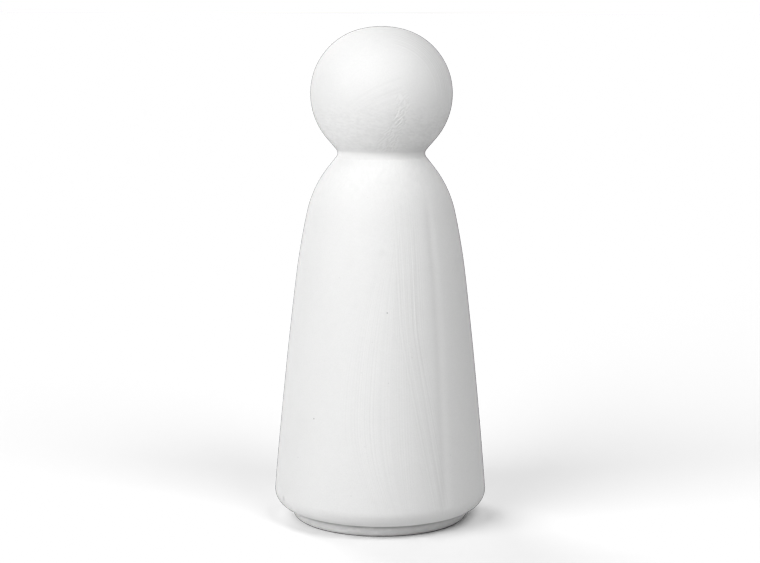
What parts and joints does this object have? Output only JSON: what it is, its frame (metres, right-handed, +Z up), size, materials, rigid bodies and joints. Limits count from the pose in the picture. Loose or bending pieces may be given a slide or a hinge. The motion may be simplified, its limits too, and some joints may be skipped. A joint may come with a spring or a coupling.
{
  "type": "kokeshi doll",
  "caption": "Free-standing hollow ceramic doll blank with a round head, a pinched neck, a bell-shaped body with a rolled-in hem, and a low foot below it.",
  "frame": {"origin": "centre of the face that the doll stands on", "axes": "+Z up the doll's axis from foot to head; -Y towards the viewer of the pictured side, +X to that viewer's right; the doll is a body of revolution"},
  "size_m": [0.108, 0.108, 0.25],
  "materials": {
    "white_bisque": "unglazed matt, with the fine scratches of the dressed mould seams",
    "luting_slip": "unglazed matt, wiped smooth"
  },
  "bodies": {
    "root": {"head": "white_bisque", "body": "white_bisque", "foot": "white_bisque", "neck_luting_slip": "luting_slip", "foot_luting_slip": "luting_slip"}
  },
  "joints": []
}
